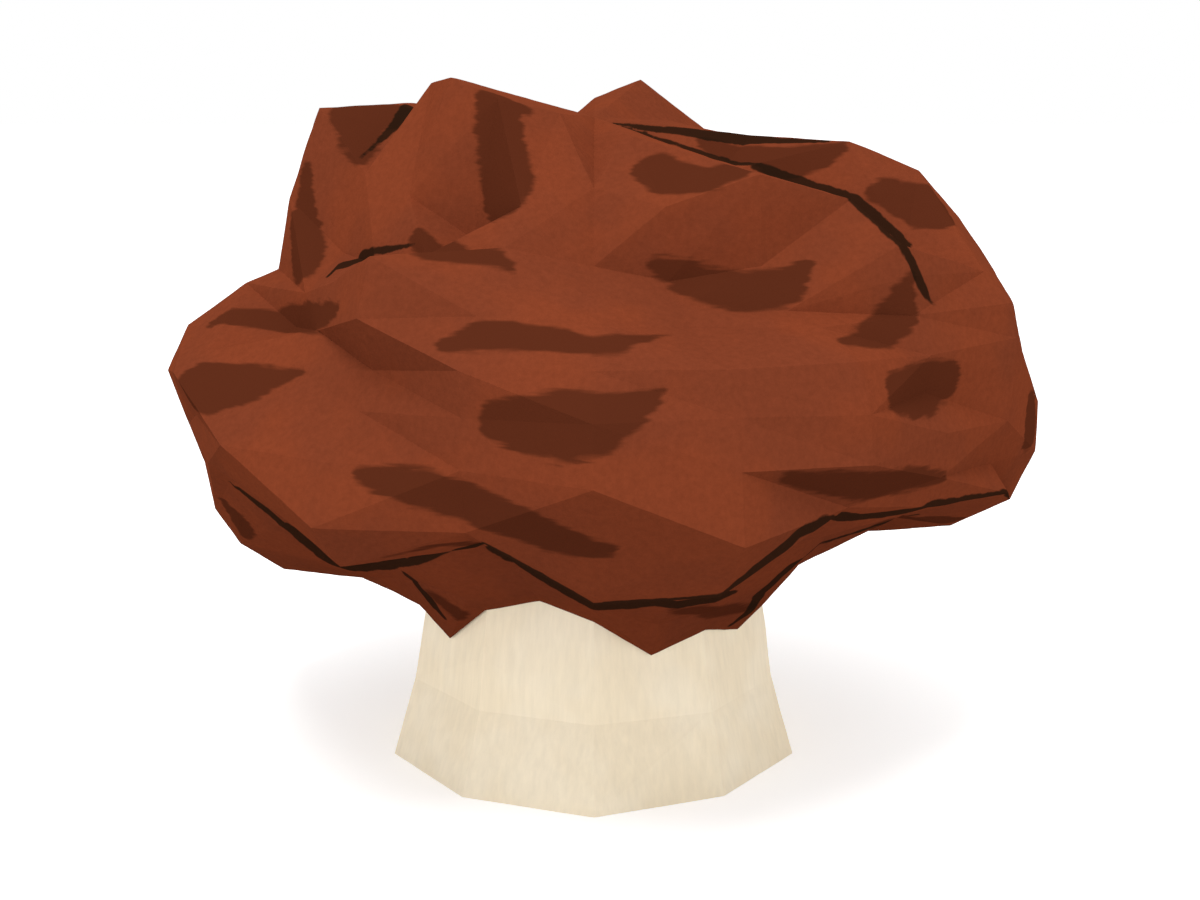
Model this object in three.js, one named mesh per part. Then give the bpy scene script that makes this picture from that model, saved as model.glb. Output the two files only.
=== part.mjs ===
// False morel: a lobed, brain-like cap on a short stout stem cut flat at the foot.
// Millimetres, +Z up, front towards -Y, +X to the right, origin at the middle of the foot.
import * as THREE from 'three';

// ---- driving dimensions -------------------------------------------------------------
const capWidth = 95; // widest spread of the cap, left to right
const height = 72.5; // cut foot to the highest lobe
const footRadius = 22.6; // corner radius of the flared foot
const neckRadius = 19.6; // corner radius where the stem leaves the flare
const headRadius = 17.6; // corner radius of the stem head inside the cap
const neckHeight = 14; // the straight taper starts here
const headHeight = 26; // top of the stem inside the cap
const fit = 0.3; // gap kept between stem and cap
const stemSides = 10;
const ribs = 20; // rib lines of the cap, evenly spaced round the stem

const wide = capWidth / 95; // the ribs below are drawn for a 95 mm cap
const tall = height / 72.5; // and a 72.5 mm mushroom

// ---- rib lines of the cap -----------------------------------------------------------
// Each rib runs from just off the crown, over the outside, round the rim and in under the
// cap, as [reach from the stem axis, height] pairs. Rib 0 faces the front (-Y), rib 5 the
// right (+X), rib 10 the back and rib 15 the left.
const crown = [0, 68.5];
const ribLines = [
  // 0 front
  [[8, 66.5], [17, 62], [22.5, 55], [28, 52.5], [32, 50.5], [37.5, 47.5], [41, 43.5], [42, 38],
    [36.5, 27.1], [34.5, 25.5], [29, 26.5], [21.5, 21]],
  // 1
  [[10, 67], [22, 60.5], [23, 53.5], [26, 51.5], [29, 50], [38.5, 47.5], [40, 43.5], [41.5, 39],
    [42.5, 32.5], [37, 26.5], [30, 26], [21, 19]],
  // 2
  [[13, 65.5], [26.5, 63.5], [27, 55], [30.7, 51.1], [35, 50], [40, 47.5], [42, 43], [42.5, 38.5],
    [39.5, 34], [33, 30.5], [28, 27], [22, 20]],
  // 3
  [[14.5, 64.5], [30.5, 61], [36, 57], [37, 54], [37.5, 50.3], [39.5, 46.7], [39, 43], [41.5, 39.4],
    [41, 35], [40, 32], [31, 29.5], [22.5, 20.5]],
  // 4
  [[10, 62], [21, 58], [33, 55], [41, 53.5], [44, 50.5], [44.5, 47], [44.5, 43.5], [44, 38.5],
    [42.5, 34], [44.5, 31], [34, 28], [23, 21.5]],
  // 5 right
  [[14, 63.5], [27, 66], [34.5, 63], [39, 58], [42.5, 53], [46.5, 43.5], [48.5, 38],
    [48.5, 32.5], [46, 27], [39.5, 24], [31, 24.5], [22, 20]],
  // 6
  [[18, 66.5], [29, 65.5], [36, 61.5], [41, 55.5], [44, 50], [43, 45.5], [47, 42], [48, 36],
    [47, 30], [35.5, 20.5], [28, 21], [21.5, 19.5]],
  // 7
  [[19, 66.5], [30, 64.5], [37, 59], [40, 54], [38, 50], [44, 47], [47, 41], [45, 36],
    [47, 30.5], [43, 24.5], [31, 22], [21.5, 18]],
  // 8
  [[14, 68], [24, 66], [32, 62], [35.5, 57], [34, 52], [38, 48.5], [39, 43], [37, 38],
    [38.5, 33], [36, 28], [29, 25.5], [22, 20.5]],
  // 9
  [[17, 72.5], [24, 66.5], [28, 60], [34, 58.5], [39.5, 54.5], [41.5, 48], [38.5, 43.5],
    [43.5, 39], [43, 31], [38, 24.5], [29, 22], [22, 18]],
  // 10 back
  [[13, 70.5], [21, 64.5], [25, 58], [33, 57], [38, 52.5], [40, 47], [37.5, 42], [43, 38],
    [42.5, 30.5], [38, 24], [28, 23], [22, 20]],
  // 11
  [[10, 68], [18, 61.5], [24, 56], [30, 55], [34, 50.5], [35, 45.5], [34, 40.5], [36, 36],
    [37.5, 31], [35, 27], [28, 25], [22, 20.5]],
  // 12
  [[14, 66.5], [23, 66], [29, 61], [33, 54.5], [36, 50], [41.5, 48.5], [44.5, 42], [41, 37],
    [45, 31], [41, 23], [30, 20.5], [22, 18]],
  // 13
  [[18, 68], [29, 67.5], [33, 61], [34.5, 54.5], [37, 50.5], [43, 47], [45.5, 41], [41.5, 35.5],
    [45.5, 29], [43.5, 21.5], [33, 19], [24, 17.5]],
  // 14
  [[21, 70], [32, 69], [35.5, 59.5], [37, 51.5], [40, 48.5], [44, 44], [46.5, 37.5], [44, 30],
    [46, 21], [43, 17.5], [39, 15.5], [28, 15.5]],
  // 15 left
  [[10, 64], [29, 69.5], [32.5, 60], [34, 52.5], [37.5, 51], [44, 46.5], [46.5, 41.5],
    [44.5, 35.5], [43, 31.5], [42, 26], [39.5, 22], [26, 18]],
  // 16
  [[17.5, 72], [24.5, 63], [27, 55], [31, 51], [32, 47.5], [41, 45.5], [44.5, 43.5],
    [42.5, 39], [41.5, 34], [39, 32.5], [34, 27], [22.5, 20]],
  // 17
  [[17.5, 72.5], [22.5, 61], [26.5, 54.5], [31.5, 53], [33, 48.5], [36, 45.5], [40, 42],
    [43.5, 38.5], [41.5, 34.5], [38.5, 31.5], [32, 29], [22.5, 21.5]],
  // 18
  [[16, 70.5], [20, 57], [27, 56], [34.5, 56.5], [36.5, 51], [34.5, 46], [36.5, 42.5], [41, 38.5],
    [43, 32.8], [39.5, 28.5], [31, 27.5], [22, 21]],
  // 19
  [[11, 69], [22, 60.5], [26.5, 57], [30, 54], [33.5, 51.5], [38, 47.3], [37.5, 43],
    [38, 38.4], [37, 32.5], [32, 30.5], [27.5, 29], [21.5, 23]],
];

// Patches whose crease runs the other way from the fuller one, as [rib, step] pairs.
const turned = [
  [0, 5], [1, 6], [1, 7], [2, 1], [2, 3], [2, 4], [3, 3], [3, 4], [3, 6], [3, 10], [15, 0], [16, 0],
  [17, 3], [17, 4], [17, 5], [18, 5], [18, 6],
];

// Heights at which the cap's ragged lower edge meets the stem, rib by rib.
const hem = [
  19, 15, 17, 15.5, 17, 15.5, 17, 14.5, 17.5, 14.5, 17, 17.5, 14.5, 16, 14.5, 15.5, 16.5, 14.5,
  19, 20.5,
];

// ---- helpers ------------------------------------------------------------------------
function bearingPoint(bearing, reach, rise) {
  return new THREE.Vector3(Math.sin(bearing) * reach, -Math.cos(bearing) * reach, rise);
}

// Radius of the stem skin at a height, at a corner or in the middle of a flat.
function stemReach(rise, atCorner, gap) {
  const t = (rise - neckHeight * tall) / ((headHeight - neckHeight) * tall);
  const corner = (neckRadius + (headRadius - neckRadius) * t) * wide;
  const flat = corner * Math.cos(Math.PI / stemSides) + gap;
  return atCorner ? flat / Math.cos(Math.PI / stemSides) : flat;
}

// Splits a ring-to-ring patch along the diagonal that keeps the skin fuller, or the other.
function patch(points, index, a, b, c, d, other = false) {
  // a top left, b top right, c bottom right, d bottom left, seen from outside
  const side = new THREE.Vector3().subVectors(points[c], points[a]);
  const across = new THREE.Vector3().subVectors(points[b], points[a]);
  const down = new THREE.Vector3().subVectors(points[d], points[a]);
  const bulge = side.clone().cross(down).dot(across);
  if (bulge > 0 !== other) {
    index.push(a, d, c, a, c, b);
  } else {
    index.push(a, d, b, b, d, c);
  }
}

function solid(name, points, index, material) {
  const geometry = new THREE.BufferGeometry();
  const flat = [];
  for (const p of points) {
    flat.push(p.x, p.y, p.z);
  }
  geometry.setAttribute('position', new THREE.Float32BufferAttribute(flat, 3));
  geometry.setIndex(index);
  geometry.computeVertexNormals();
  const mesh = new THREE.Mesh(geometry, material);
  mesh.name = name;
  return mesh;
}

// ---- cap ----------------------------------------------------------------------------
function makeCap() {
  const points = [];
  const index = [];
  const rings = [];
  const top = points.push(new THREE.Vector3(crown[0], 0, crown[1] * tall)) - 1;
  const steps = ribLines[0].length;
  for (let r = 0; r < steps; r += 1) {
    const ring = [];
    for (let i = 0; i < ribs; i += 1) {
      const [reach, rise] = ribLines[i][r];
      const bearing = (i * 2 * Math.PI) / ribs;
      ring.push(points.push(bearingPoint(bearing, reach * wide, rise * tall)) - 1);
    }
    rings.push(ring);
  }
  // ragged lower edge against the stem, then up the inside of the socket
  const edge = [];
  const roof = [];
  const roofHeight = headHeight * tall + fit;
  for (let i = 0; i < ribs; i += 1) {
    const bearing = (i * 2 * Math.PI) / ribs;
    const atCorner = i % 2 === 0;
    const rise = hem[i] * tall;
    edge.push(points.push(bearingPoint(bearing, stemReach(rise, atCorner, fit), rise)) - 1);
  }
  for (let i = 0; i < ribs; i += 1) {
    const bearing = (i * 2 * Math.PI) / ribs;
    const reach = stemReach(roofHeight, i % 2 === 0, fit);
    roof.push(points.push(bearingPoint(bearing, reach, roofHeight)) - 1);
  }
  rings.push(edge);
  rings.push(roof);
  const middle = points.push(new THREE.Vector3(0, 0, roofHeight)) - 1;
  for (let i = 0; i < ribs; i += 1) {
    const j = (i + 1) % ribs;
    index.push(top, rings[0][i], rings[0][j]);
    for (let r = 0; r + 1 < rings.length; r += 1) {
      const other = turned.some(([rib, step]) => rib === i && step === r);
      patch(points, index, rings[r][i], rings[r][j], rings[r + 1][j], rings[r + 1][i], other);
    }
    index.push(middle, roof[j], roof[i]);
  }
  const skin = new THREE.MeshStandardMaterial({ color: 0x823d25, roughness: 0.62, metalness: 0 });
  skin.flatShading = true;
  return solid('cap', points, index, skin);
}

// ---- stem ---------------------------------------------------------------------------
// Ten-sided, flaring to a wide foot; small swellings keep it from being a turned shape.
function makeStem() {
  const points = [];
  const index = [];
  const footSwell = [1.2, 0.3, 0.3, 0.1, 0, -0.2, 0.1, 0.2, 0.5, 0.6];
  const waistSwell = [0.1, 0.3, -0.1, 0, 0.2, -0.1, 0.1, 0, 0.2, -0.2];
  const waistRadius = 20.4;
  const waistHeight = 8.5;
  const levels = [
    [footRadius, 0, footSwell],
    [waistRadius, waistHeight, waistSwell],
    [neckRadius, neckHeight, null],
    [headRadius, headHeight, null],
  ];
  const rings = levels.map(([radius, rise, swell]) => {
    const ring = [];
    for (let i = 0; i < stemSides; i += 1) {
      const reach = (radius + (swell ? swell[i] : 0)) * wide;
      const bearing = (i * 2 * Math.PI) / stemSides;
      ring.push(points.push(bearingPoint(bearing, reach, rise * tall)) - 1);
    }
    return ring;
  });
  const under = points.push(new THREE.Vector3(0, 0, 0)) - 1;
  const over = points.push(new THREE.Vector3(0, 0, headHeight * tall)) - 1;
  for (let i = 0; i < stemSides; i += 1) {
    const j = (i + 1) % stemSides;
    index.push(under, rings[0][j], rings[0][i]);
    for (let r = 0; r + 1 < rings.length; r += 1) {
      patch(points, index, rings[r + 1][i], rings[r + 1][j], rings[r][j], rings[r][i]);
    }
    index.push(over, rings[3][i], rings[3][j]);
  }
  const flesh = new THREE.MeshStandardMaterial({ color: 0xe6d8bc, roughness: 0.7, metalness: 0 });
  flesh.flatShading = true;
  return solid('stalk', points, index, flesh);
}

const group = new THREE.Group();
group.name = 'false_morel';
group.add(makeCap());
group.add(makeStem());

export default group;
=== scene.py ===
import bpy
import bmesh
import math
import numpy as np
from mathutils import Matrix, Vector


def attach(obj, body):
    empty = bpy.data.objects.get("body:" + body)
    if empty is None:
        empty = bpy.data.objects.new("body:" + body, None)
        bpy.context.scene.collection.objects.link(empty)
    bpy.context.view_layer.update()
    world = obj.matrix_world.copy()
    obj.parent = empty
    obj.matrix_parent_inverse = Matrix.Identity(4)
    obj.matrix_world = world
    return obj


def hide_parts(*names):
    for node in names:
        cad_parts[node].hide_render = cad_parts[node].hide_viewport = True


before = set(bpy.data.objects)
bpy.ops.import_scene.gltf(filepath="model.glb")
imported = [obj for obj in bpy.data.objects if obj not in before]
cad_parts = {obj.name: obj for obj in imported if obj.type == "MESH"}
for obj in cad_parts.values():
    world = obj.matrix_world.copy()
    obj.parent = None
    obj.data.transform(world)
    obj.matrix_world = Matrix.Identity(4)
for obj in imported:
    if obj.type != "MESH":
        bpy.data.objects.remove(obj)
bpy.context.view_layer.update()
scene = bpy.context.scene
scene.view_settings.view_transform = "Standard"


# ---- Studio --------------------------------------------------------------------------
# A wide white floor under an even white sky, and one large soft lamp high on the front
# left. The mushroom stands on the floor on its cut foot.

white = (1, 1, 1, 1)
floor_grey = (0.88, 0.88, 0.88, 1)
floor_side = 8               # m
floor_lift = 0.38            # glow that brings the floor, where it is seen, up to white
sky_light = 1.05             # strength of the light that the sky throws on the mushroom
seen_sky = 1.0               # strength at which the sky itself is seen as plain white
lamp_place = (-0.10, -0.28, 0.92)
lamp_aim = (0, 0, 0.04)
lamp_width = 0.45            # m
lamp_power = 5.3             # W
camera_place = (0.0006, -0.1793, 0.0707)
camera_tilt = 78             # degrees up from looking straight down
camera_lens = 50             # mm, before a frame 36 mm wide


def add_node(tree, kind, inputs=None, **settings):
    """A shader node with its settings and the plain values of its inputs."""
    made = tree.nodes.new(kind)
    for name, value in settings.items():
        setattr(made, name, value)
    for name, value in (inputs or {}).items():
        made.inputs[name].default_value = value
    return made


def calculate(tree, operation, a, b):
    """One sum, product or the like of two values, of which the second may be a plain number."""
    made = add_node(tree, "ShaderNodeMath", operation=operation)
    tree.links.new(a, made.inputs[0])
    if isinstance(b, (int, float)):
        made.inputs[1].default_value = b
    else:
        tree.links.new(b, made.inputs[1])
    return made.outputs[0]


def seen_directly(tree):
    """1 where the camera looks, straight or by way of a mirror or glass; 0 for light on other things."""
    path = add_node(tree, "ShaderNodeLightPath")
    either = calculate(tree, "MAXIMUM", path.outputs["Is Camera Ray"], path.outputs["Is Glossy Ray"])
    return calculate(tree, "MAXIMUM", either, path.outputs["Is Transmission Ray"])


bpy.ops.object.select_all(action="DESELECT")
bpy.ops.mesh.primitive_plane_add(size=floor_side, location=(0, 0, 0))
floor = bpy.context.active_object
floor.name = "studio_floor"
white_floor = bpy.data.materials.new("white_studio_floor")
white_floor.use_nodes = True
tree = white_floor.node_tree
tree.nodes.clear()
matt = add_node(tree, "ShaderNodeBsdfDiffuse", {"Color": floor_grey})
lift = add_node(tree, "ShaderNodeEmission", {"Color": white})
tree.links.new(calculate(tree, "MULTIPLY", seen_directly(tree), floor_lift), lift.inputs["Strength"])
together = add_node(tree, "ShaderNodeAddShader")
tree.links.new(matt.outputs[0], together.inputs[0])
tree.links.new(lift.outputs[0], together.inputs[1])
surface = add_node(tree, "ShaderNodeOutputMaterial")
tree.links.new(together.outputs[0], surface.inputs["Surface"])
floor.data.materials.append(white_floor)

world = bpy.data.worlds.new("even_white_sky")
scene.world = world
world.use_nodes = True
tree = world.node_tree
tree.nodes.clear()
strength = add_node(tree, "ShaderNodeMapRange", {"To Min": sky_light, "To Max": seen_sky})
tree.links.new(seen_directly(tree), strength.inputs["Value"])
sky = add_node(tree, "ShaderNodeBackground", {"Color": white})
tree.links.new(strength.outputs["Result"], sky.inputs["Strength"])
above = add_node(tree, "ShaderNodeOutputWorld")
tree.links.new(sky.outputs[0], above.inputs["Surface"])

lamp = bpy.data.lights.new("key_lamp", "AREA")
lamp.shape = "DISK"
lamp.size = lamp_width
lamp.energy = lamp_power
key_lamp = bpy.data.objects.new("key_lamp", lamp)
key_lamp.location = lamp_place
key_lamp.rotation_euler = (Vector(lamp_aim) - Vector(lamp_place)).to_track_quat("-Z", "Y").to_euler()
scene.collection.objects.link(key_lamp)

lens = bpy.data.cameras.new("camera")
lens.lens = camera_lens
lens.sensor_width = 36
lens.clip_start = 0.01
camera = bpy.data.objects.new("camera", lens)
camera.location = camera_place
camera.rotation_euler = (math.radians(camera_tilt), 0, 0)
scene.collection.objects.link(camera)
scene.camera = camera


# ---- Cap -----------------------------------------------------------------------------
# The cap is one thick sheet of brittle brown flesh, crumpled as it grows into blunt lobes
# and flat-sided folds like a brain. Its skin is dry and faintly felted and blotched dark, with
# painted shade, nearly black, along the edges where one fold lies over the next, and painted
# shade on the faces that turn down under the lobes.

mm = 0.001
ribs = 20                    # the folds are set out on twenty lines round the stem
same_place = 0.01 * mm       # corners closer than this are one corner
flat_angle = 3               # degrees; facets that meet at less lie in one flat
facet_edge = 0.95 * mm       # longest mesh edge left on the skin
crease_edge = 0.45 * mm      # and along the strokes of painted crease shade, whose thin lines need closer corners
crease_margin = 0.5          # how far beside a crease the mesh stays that fine, in mm
halvings = 8                 # rounds of halving at most
easing = 0.1                 # share of its way to the middle of its neighbours that a corner moves
far_outside = -20.0          # least depth in a stroke, in mm, for a place far from all of them


def copy_of_node(name, node):
    """The node's own mesh in edit mode, its loose triangles joined and its facets' edges marked sharp."""
    bpy.ops.object.select_all(action="DESELECT")
    made = bpy.data.objects.new(name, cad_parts[node].data.copy())
    made.data.materials.clear()
    scene.collection.objects.link(made)
    bpy.context.view_layer.objects.active = made
    made.select_set(True)
    bpy.ops.object.mode_set(mode="EDIT")
    bpy.ops.mesh.select_all(action="SELECT")
    bpy.ops.mesh.customdata_custom_splitnormals_clear()
    bpy.ops.mesh.remove_doubles(threshold=same_place)
    bpy.ops.mesh.faces_shade_smooth()
    bpy.ops.mesh.mark_sharp(clear=True)
    bpy.ops.mesh.select_mode(type="EDGE")
    bpy.ops.mesh.select_all(action="DESELECT")
    bpy.ops.mesh.edges_select_sharp(sharpness=math.radians(flat_angle))
    bpy.ops.mesh.mark_sharp()
    bpy.ops.mesh.select_all(action="SELECT")
    return made


def corners_mm(piece):
    """The places of the piece's corners, in mm."""
    places = np.zeros(len(piece.data.vertices) * 3)
    piece.data.vertices.foreach_get("co", places)
    return places.reshape(-1, 3) / mm


def depth_in_strokes(places, strokes):
    """How far inside the nearest brush stroke each place is, in mm; below 0 it is outside."""
    best = np.full(len(places), far_outside)
    for stroke in strokes:
        for a, b in zip(stroke[:-1], stroke[1:]):
            start, end = np.array(a[:3], float), np.array(b[:3], float)
            along = end - start
            t = np.clip(((places - start) @ along) / (along @ along), 0, 1)
            away = np.linalg.norm(places - start - t[:, None] * along, axis=1)
            half_width = a[3] + (b[3] - a[3]) * t
            best = np.maximum(best, half_width - away)
    return best


def halve_long_edges(piece, longest, strokes=None):
    """In edit mode, halves every edge over the given length, all over or only along brush strokes."""
    for _ in range(halvings):
        shape = bmesh.from_edit_mesh(piece.data)
        too_long = [edge for edge in shape.edges if edge.calc_length() > longest]
        if strokes:
            middles = np.array([(edge.verts[0].co + edge.verts[1].co) / 2 for edge in too_long]) / mm
            close = depth_in_strokes(middles, strokes) > -crease_margin
            too_long = [edge for edge, chosen in zip(too_long, close) if chosen]
        if not too_long:
            break
        bpy.ops.mesh.select_all(action="DESELECT")
        for edge in too_long:
            edge.select = True
        bmesh.update_edit_mesh(piece.data)
        bpy.ops.mesh.subdivide(number_cuts=1, ngon=False)
        bpy.ops.mesh.select_all(action="SELECT")
        bpy.ops.mesh.quads_convert_to_tris(quad_method="BEAUTY", ngon_method="BEAUTY")


def ease_ridges():
    """Softens the active piece a little, so that no ridge or valley is knife-sharp."""
    bpy.ops.object.mode_set(mode="EDIT")
    bpy.ops.mesh.select_mode(type="VERT")
    bpy.ops.mesh.select_all(action="SELECT")
    bpy.ops.mesh.vertices_smooth(factor=easing, repeat=1)
    bpy.ops.object.mode_set(mode="OBJECT")


def swell(piece, name, grain, height):
    """Pushes the skin in and out along its normals by a soft random relief."""
    relief = bpy.data.textures.new(name, "CLOUDS")
    relief.noise_scale = grain
    relief.noise_depth = 2
    push = piece.modifiers.new(name, "DISPLACE")
    push.texture = relief
    push.texture_coords = "LOCAL"
    push.direction = "NORMAL"
    push.mid_level = 0.5
    push.strength = height
    bpy.context.view_layer.objects.active = piece
    bpy.ops.object.modifier_apply(modifier=push.name)


def store(piece, name, values, on="POINT"):
    """Keeps one value for each corner or face, for the material to read."""
    layer = piece.data.attributes.new(name, "FLOAT", on)
    layer.data.foreach_set("value", np.asarray(values, np.float32))


def on_rib(rib, reach, height, half_width):
    """A place on one of the cap's rib lines, as (x, y, z, half width) in mm."""
    bearing = 2 * math.pi * rib / ribs
    return (math.sin(bearing) * reach, -math.cos(bearing) * reach, height, half_width)


# dark blotches as brush strokes over the skin: (x, y, z, half width) in mm
blotches = [
    # the tall left lobe and the hump in front of it
    [(-21, 3, 69, 2.4), (-25, 0, 68.5, 3), (-24.4, -3, 66, 2.2), (-24, -6, 64, 0.7)],
    [(-30.5, -1, 63, 0.8), (-30.5, -3, 57.5, 2.2), (-29.8, -6, 54, 2.7)],
    [(-9.5, -12.5, 70.5, 2.1), (-9.4, -14.5, 68, 2.6),
     (-9.3, -17, 64, 3.1), (-8.8, -18, 62, 3.2), (-8.6, -19, 60.5, 2.6)],
    [(-9, -12.5, 70.5, 1.8), (-6.3, -12.5, 69.5, 0.6)],
    [(-17.2, -18.3, 57.5, 0.8), (-16.4, -19.3, 57.3, 1.3), (-15.4, -20.4, 56.9, 1.4),
     (-14.2, -21.8, 56.6, 1.2), (-12.6, -24, 56.5, 1.1)],
    [(-17.2, -26.8, 56.4, 0.2), (-15.2, -27, 56.5, 0.7), (-12.6, -26.8, 56.5, 1),
     (-10.4, -26.2, 56.4, 1.1), (-9, -26.2, 56.1, 1), (-7.8, -26.7, 55.5, 0.6), (-7.3, -27.1, 55, 0.3)],
    # left shoulder
    [(-41, -5, 48, 0.8), (-36, -7, 48, 1.8), (-31, -9, 48, 2), (-27, -17, 49, 2), (-24, -23, 51, 0.8)],
    [(-39.5, -16.5, 43, 2.6), (-36, -19.5, 42.8, 3.3), (-32, -21.3, 43.6, 2.2), (-28, -22.7, 45, 0.5)],
    # the broad front
    [(-12.8, -33.8, 49.3, 0.9), (-10.2, -33.6, 50, 1.7), (-7.5, -33.8, 50.2, 1.8), (-3, -34, 50, 1.9),
     (0, -34.4, 49.2, 1.4), (2, -34, 49.2, 1.3), (4.3, -32.6, 49.7, 0.8), (7, -30.3, 49.8, 0.2)],
    [(-8.3, -37.4, 43, 1.9), (-5.5, -38.6, 43, 2.6), (-2.5, -39.9, 43.2, 3.2), (0, -40.7, 43.6, 3),
     (2.3, -40, 44.3, 2.3), (4.1, -39, 45, 1.4), (5.8, -38, 45.8, 0.5)],
    [(-20.8, -34.3, 37.6, 0.7), (-18.2, -35, 37.2, 1.4), (-15.9, -35.6, 36.8, 1.8),
     (-13, -35.7, 36, 1.9), (-10, -36.4, 35.2, 2), (-7, -37.5, 34.2, 2), (-4, -38.1, 33.2, 1.8),
     (-1, -38.7, 32.4, 1.3), (1.5, -39, 31.8, 0.7)],
    [(-19, -32, 30, 0.6), (-14, -32, 31, 0.9), (-11, -30, 30, 0.6)],
    [(5.8, -15.8, 63.8, 2.2), (7.5, -17.8, 63, 2.4), (10.3, -19.3, 62.8, 1.9), (14, -20, 64, 1.4)],
    [(6, -22, 55, 1), (9, -23, 54, 2), (14, -24, 53, 2.4), (18, -23, 53, 2), (20, -22, 55, 0.8)],
    # right lobe
    [(12, 2, 65.5, 1.2), (16, 1.5, 64.7, 2), (20, -1, 64, 2.9),
     (23, -1, 64.5, 2.1), (26, -0.5, 65.5, 0.8)],
    [(29.5, -4.8, 60.8, 1.4), (31.7, -4.5, 60.5, 2.8), (33.6, -4.6, 59.8, 3.5), (35.4, -6, 58.8, 2.2)],
    [(30.3, -21.4, 54.2, 0.4), (29.3, -22, 52.3, 1.4), (29, -22.4, 50.6, 1.9), (27, -24.8, 49.4, 1.8),
     (25, -26.9, 48.7, 1.4), (22.8, -29.3, 48.7, 0.6)],
    [(27.6, -29.3, 44.2, 1.9), (29.5, -27, 43.9, 2.6), (32, -24, 43.7, 2.6), (34, -21.3, 43.9, 2)],
    [(46.3, -4.6, 37.9, 2.2), (46.9, -3.6, 36, 2.8), (47.3, -3.2, 34.8, 1.6)],
    [(17, -37, 38, 0.8), (23, -34, 36.5, 1.8), (29, -29, 35.5, 1.8), (34, -24, 35, 0.8)],
    # hem and the skin below the margin
    [(8, -23, 21, 0.8), (12, -18, 20, 1.2), (16, -13, 19, 0.8)],
    [(-14, -15, 18.5, 1.2), (-17, -14, 20, 0.8)],
    [(-39.9, -4, 27.2, 1.2), (-38.9, -4.3, 26.1, 1.8),
     (-38.3, -3.9, 24.9, 1.7), (-38.4, -2.6, 23.6, 1)],
    [(30, -10, 27, 1.4), (38.5, -3.5, 25.5, 1.6)],
    # crown and back
    [(-4, 6, 69, 1), (-8, 3, 68, 2.4), (-12, -2, 68, 1)],
    [(16, 9, 67, 2.4), (22, 8, 67, 1.5)],
    [(3, 17, 70, 2), (2, 21, 66, 2.6), (2, 24, 60, 1.5)],
    [(12, 36, 55, 1.5), (6, 37, 54, 2.4), (-2, 36, 54, 1.2)],
    [(12, 41, 38, 1.5), (6, 42, 36, 3), (0, 43, 34, 1.5)],
    [(22, 31, 46, 1), (29, 29, 45, 2.4), (35, 27, 44, 1.2)],
    [(30, 20, 60, 2), (27, 22, 61, 2.6), (22, 25, 62, 1)],
    [(-9, 30, 53, 1), (-14, 29, 52, 2), (-18, 28, 53, 0.8)],
    [(-8, 36, 40, 1), (-10, 34, 37, 1.8), (-12, 35, 33, 1)],
    [(-20, 27, 55, 1), (-24, 23, 57, 2.4), (-28, 18, 60, 1.5)],
    [(-24, 34, 46, 2), (-29, 31, 45, 2.8), (-33, 27, 46, 1)],
    [(-25, 36, 31, 2), (-30, 33, 29, 2.8), (-36, 27, 28, 1.5)],
    # right and left sides
    [(37, 27, 37, 1), (38, 26, 32, 3), (37, 24, 28, 1.5)],
    [(44, 8, 46, 1.5), (45, 3, 43, 2.6), (47, -2, 40, 1)],
    [(46, 12, 34, 1), (46, 6, 31, 2.4), (45, 1, 28, 1)],
    [(-43, 14, 34, 1.5), (-44, 10, 30, 2.6), (-43, 4, 29, 1)],
    [on_rib(14.1, 35, 57.5, 0.8), on_rib(14.4, 32.9, 61.5, 2.3), on_rib(14.7, 30.8, 65.5, 0.9)],
    [(-45, -1, 44, 1), (-43, 6, 46, 2.2), (-40, 12, 47, 1)],
]
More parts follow.
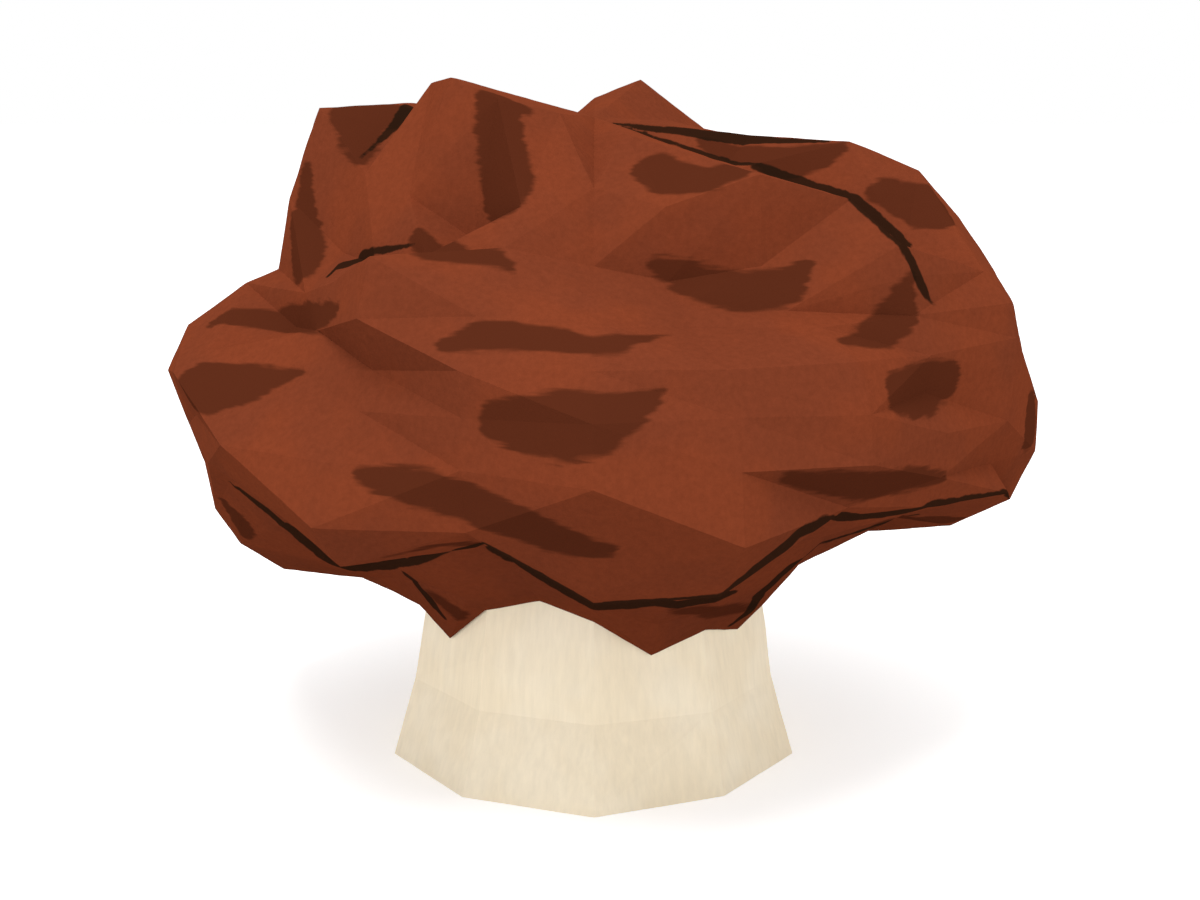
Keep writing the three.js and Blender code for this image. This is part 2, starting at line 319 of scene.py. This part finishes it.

# painted shade, nearly black, in the creases where one fold lies over the next, on the skin just behind
# each edge and under the overhanging margins
crease_shade_strokes = [
    # behind the crest of the right lobe, then down its outer end
    [(3, 0, 67.3, 0.25), (9.5, 0.5, 65.4, 0.4), (14, 0.5, 64, 0.5),
     (17.5, -2, 63.2, 0.6), (22, -3.5, 61.9, 0.65), (27, -5.2, 60.2, 0.65),
     (29.3, -7.1, 58.2, 0.6), (31.2, -8.7, 56.5, 0.6), (31.8, -9.2, 55.9, 0.6)],
    [on_rib(3, 14.5, 64.5, 0.25), on_rib(3, 30.5, 61, 0.3),
     (29.1, -21.1, 57.2, 0.6), (30.2, -20.9, 55.4, 0.7), (30.9, -20.8, 53.8, 0.7),
     (31.8, -20.3, 52.2, 0.55), (32.8, -19.6, 51, 0.1)],
    # top of the lobe behind it
    [(2, 0, 67.9, 0.15), (5.5, 1, 67.4, 0.5), (9.5, 2.5, 67, 0.7), (13, 3.5, 66.4, 0.9),
     (17, 4.5, 66.1, 1.1), (20, 3, 65.8, 0.7), (25, 1, 65.9, 0.3)],
    # behind the left side of the hump, and above the shoulder
    [(-20.2, 5, 69.4, 0.9), (-21.2, 0.8, 67.7, 0.55), (-22.2, -2, 66.3, 0.35), (-24, -5.7, 64.4, 0.1)],
    [(-27, -12.2, 53, 0.1), (-26, -13.3, 53.6, 0.9), (-24.8, -13, 54.3, 1.2),
     (-23.4, -12.5, 54.9, 0.8), (-22, -13.8, 55.5, 0.5), (-20.5, -15.4, 55.9, 0.45),
     (-18.8, -17.4, 56.4, 0.3), (-17, -19.2, 56.8, 0.1)],
    # under the overhanging front folds, from the left round to the right
    [(-38.2, -9.7, 31.3, 0.1), (-36.9, -10.4, 30.6, 0.35), (-34.3, -10.4, 28.5, 0.8),
     (-32.9, -10.4, 27.3, 1.1), (-31.5, -9.4, 25.9, 1.2), (-30.3, -7.3, 24, 1.25),
     (-29, -5.5, 22.1, 1.3), (-27.2, -4, 20.5, 1.3), (-24.1, -7.5, 21.5, 1), (-21, -14, 23.7, 0.9),
     (-17.6, -24, 27, 0.9), (-14, -26.5, 28.4, 1), (-12, -28.2, 29.3, 1.2), (-10.6, -29, 29.9, 0.7)],
    [(-10.4, -26.3, 28.8, 0.3), (-8, -24.5, 27.3, 0.8), (-4, -24, 24.6, 1.2), (0, -22.5, 21.7, 1.2),
     (6, -24.6, 22.9, 1.05), (12.3, -21.1, 22.2, 1.1), (14.2, -19.2, 22, 0.3)],
    # along the rim in front, up its right side and on round under the right lobe
    [(-9.8, -35.1, 31.5, 0.3), (-8, -35.1, 30.4, 0.6), on_rib(0, 34.5, 25.5, 0.65),
     on_rib(1, 37, 26.5, 0.7), (14.5, -35.2, 29, 1), (17, -34.6, 31, 1.25), (18.5, -35, 32.4, 1.2),
     (20.5, -33.4, 32.9, 1.1), (24.4, -26.6, 31.6, 1.2), (28, -24.8, 31.6, 1), on_rib(3, 40, 32, 0.7),
     on_rib(4, 44.5, 31, 0.5), on_rib(5, 46, 27, 0.1)],
    # the hem's corners at the left and right of the stem
    [(-19.7, -14, 22.8, 0.2), (-18.5, -12.3, 21, 0.8),
     (-17.2, -12.7, 19.4, 0.8), (-15.6, -12.7, 17.3, 0.2)],
    [(14, -13, 16.7, 0.3), (16.3, -12.7, 18.2, 0.8), (17, -14.2, 20.4, 1), (20, -15.7, 23.7, 1),
     (23.2, -12.6, 24.5, 0.8), (28, -11, 26, 0.6), (34, -9.5, 27.8, 0.2)],
    # margin round the sides and back
    [on_rib(5, 39.5, 24, 0.6), on_rib(6, 35.5, 20.5, 0.6), on_rib(7, 43, 24.5, 0.6),
     on_rib(8, 36, 28, 0.6), on_rib(9, 38, 24.5, 0.6), on_rib(10, 38, 24, 0.6),
     on_rib(11, 35, 27, 0.6), on_rib(12, 41, 23, 0.6), on_rib(13, 43.5, 21.5, 0.6),
     on_rib(14, 43, 17.5, 0.6), on_rib(15, 42, 26, 0.2)],
    # folds of the back
    [on_rib(9, 41.5, 48, 0.1), on_rib(10, 40, 47, 0.7), on_rib(11, 35, 45.5, 0.6),
     on_rib(12, 44.5, 42, 0.7), on_rib(13, 45.5, 41, 0.6), on_rib(14, 46.5, 37.5, 0.1)],
    [on_rib(6, 44, 50, 0.1), on_rib(7, 40, 54, 0.7),
     on_rib(8, 35.5, 57, 0.6), on_rib(9, 34, 58.5, 0.1)],
]

cap = copy_of_node("cap_flesh", "cap")
halve_long_edges(cap, facet_edge)
# finer still along the strokes of painted crease shade
halve_long_edges(cap, crease_edge, crease_shade_strokes)
bpy.ops.object.mode_set(mode="OBJECT")
places = corners_mm(cap)
store(cap, "blotch_mm", depth_in_strokes(places, blotches))
# depth in the strokes of painted crease shade
store(cap, "crease_shade_mm", depth_in_strokes(places, crease_shade_strokes))
# how far each face points down, which sets the painted shade under the lobes
store(cap, "underside", [-face.normal.z for face in cap.data.polygons], on="FACE")
ease_ridges()
swell(cap, "soft_undulation", grain=8 * mm, height=0.25 * mm)
swell(cap, "fine_wrinkle", grain=2 * mm, height=0.05 * mm)


def linear(code):
    """A written colour such as 8A4128 as the shader's own numbers."""
    parts = [int(code[i:i + 2], 16) / 255 for i in (0, 2, 4)]
    return tuple(p / 12.92 if p <= 0.04045 else ((p + 0.055) / 1.055) ** 2.4 for p in parts) + (1.0,)


def new_skin(name):
    """A new material, with its node tree, its shader and the piece's own coordinates."""
    skin = bpy.data.materials.new(name)
    skin.use_nodes = True
    tree = skin.node_tree
    here = add_node(tree, "ShaderNodeTexCoord").outputs["Object"]
    return skin, tree, tree.nodes["Principled BSDF"], here


def noise_at(tree, where, per_mm, detail=3.0, rough=0.55):
    """A noise with so many lumps to the mm, the same all ways or given along x, y and z."""
    along = per_mm if isinstance(per_mm, tuple) else (per_mm, per_mm, per_mm)
    per_metre = [count / mm for count in along]
    sized = add_node(tree, "ShaderNodeMapping", {"Scale": per_metre}, vector_type="POINT")
    tree.links.new(where, sized.inputs["Vector"])
    made = add_node(tree, "ShaderNodeTexNoise", {"Scale": 1.0, "Detail": detail, "Roughness": rough})
    tree.links.new(sized.outputs["Vector"], made.inputs["Vector"])
    return made.outputs["Fac"]


def ramp(tree, value, low, high, to_low, to_high, smooth=False):
    """Takes a value between low and high to one between to_low and to_high, which it never leaves."""
    ends = {"From Min": low, "From Max": high, "To Min": to_low, "To Max": to_high}
    course = "SMOOTHSTEP" if smooth else "LINEAR"
    made = add_node(tree, "ShaderNodeMapRange", ends, interpolation_type=course)
    tree.links.new(value, made.inputs["Value"])
    return made.outputs["Result"]


def tint(tree, share, under, over, blend="MIX"):
    """Lays one colour over another by a share; each of the three is a plain value or a socket."""
    made = add_node(tree, "ShaderNodeMix", data_type="RGBA", blend_type=blend)
    for name, value in (("Factor", share), ("A", under), ("B", over)):
        if isinstance(value, (tuple, float, int)):
            made.inputs[name].default_value = value
        else:
            tree.links.new(value, made.inputs[name])
    return made.outputs["Result"]


def layer_value(tree, name):
    """A value that was stored on the piece's corners or faces."""
    return add_node(tree, "ShaderNodeAttribute", attribute_name=name).outputs["Fac"]


def fine_relief(tree, shader, height, strength):
    """Roughens the skin's shading by a noise, finer than the mesh can carry."""
    bump = add_node(tree, "ShaderNodeBump", {"Strength": strength, "Distance": relief_depth})
    tree.links.new(height, bump.inputs["Height"])
    tree.links.new(bump.outputs["Normal"], shader.inputs["Normal"])


warm_brown = linear("6C331F")
red_brown = linear("72351F")
blotch_brown = linear("4C2314")
# painted shade, nearly black, for the creases
crease_shade_black = linear("1E130B")
blotch_cover = 0.95          # how much of the ground colour a blotch hides
crease_shade_cover = 0.92          # and the painted crease shade
blotch_wander = 0.38         # how far a blotch's edge strays in and out, in mm
crease_shade_wander = 0.12         # and the painted crease shade's edge
relief_depth = 0.12 * mm

cap_skin, tree, shader, here = new_skin("felted_brown_cap_skin")

# ground colour: two close browns in broad clouds, then a fine grain
clouds = ramp(tree, noise_at(tree, here, 0.09, detail=2), 0.38, 0.62, 0, 1, smooth=True)
ground = tint(tree, clouds, warm_brown, red_brown)
grain = ramp(tree, noise_at(tree, here, 1.6, detail=4, rough=0.7), 0.3, 0.7, 0.9, 1.08)
ground = tint(tree, 1.0, ground, grain, "MULTIPLY")

# blotches: combed edges, ragged across the combing and smooth along it
comb = noise_at(tree, here, (0.26, 0.26, 1.9), detail=2, rough=0.5)
stray = ramp(tree, comb, 0.25, 0.75, -blotch_wander, blotch_wander)
inside = calculate(tree, "ADD", layer_value(tree, "blotch_mm"), stray)
ground = tint(tree, ramp(tree, inside, -0.35, 0.3, 0, blotch_cover, smooth=True), ground, blotch_brown)

# painted shade: the skin is darker the more it faces down, where it turns in under the lobes
shade = ramp(tree, layer_value(tree, "underside"), 0.1, 0.5, 1.0, 0.75, smooth=True)
ground = tint(tree, 1.0, ground, shade, "MULTIPLY")

# painted shade in the creases: nearly black, with a soft and slightly unsteady edge
unsteady = noise_at(tree, here, 0.8, detail=2)
stray = ramp(tree, unsteady, 0.3, 0.7, -crease_shade_wander, crease_shade_wander)
inside = calculate(tree, "ADD", layer_value(tree, "crease_shade_mm"), stray)
ground = tint(tree, ramp(tree, inside, -0.12, 0.12, 0, crease_shade_cover, smooth=True), ground, crease_shade_black)
tree.links.new(ground, shader.inputs["Base Color"])

# a dry, matt, felted surface with no shine
mattness = ramp(tree, noise_at(tree, here, 0.7), 0.3, 0.7, 0.62, 0.82)
tree.links.new(mattness, shader.inputs["Roughness"])
shader.inputs["Specular IOR Level"].default_value = 0.0
fine_relief(tree, shader, noise_at(tree, here, 2.6, detail=4, rough=0.65), strength=0.35)

cap.data.materials.append(cap_skin)
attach(cap, "root")
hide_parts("cap")


# ---- Stem ----------------------------------------------------------------------------
# The stem is pale cream flesh, short and stout, with ten blunt flats and a flared foot
# cut level with a knife. Its head is grown into the underside of the cap.

stem_edge = 1.0 * mm         # longest mesh edge left on the stem
pale_cream = linear("F8EBD1")
deep_cream = linear("F5E6C9")

stem = copy_of_node("stem_flesh", "stalk")
halve_long_edges(stem, stem_edge)
ease_ridges()
swell(stem, "stem_undulation", grain=6 * mm, height=0.12 * mm)

# the cut foot doesn't sink below the floor
for corner in stem.data.vertices:
    corner.co.z = max(corner.co.z, 0.0)

stem_skin, tree, shader, here = new_skin("cream_stem_skin")
clouds = ramp(tree, noise_at(tree, here, 0.12, detail=2), 0.35, 0.65, 0, 1, smooth=True)
ground = tint(tree, clouds, pale_cream, deep_cream)
fibres = noise_at(tree, here, (1.6, 1.6, 0.12), detail=4, rough=0.6)
ground = tint(tree, 1.0, ground, ramp(tree, fibres, 0.3, 0.7, 0.95, 1.03), "MULTIPLY")
tree.links.new(ground, shader.inputs["Base Color"])
shader.inputs["Roughness"].default_value = 0.75
shader.inputs["Specular IOR Level"].default_value = 0.25
fine_relief(tree, shader, fibres, strength=0.3)

stem.data.materials.append(stem_skin)
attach(stem, "root")
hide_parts("stalk")
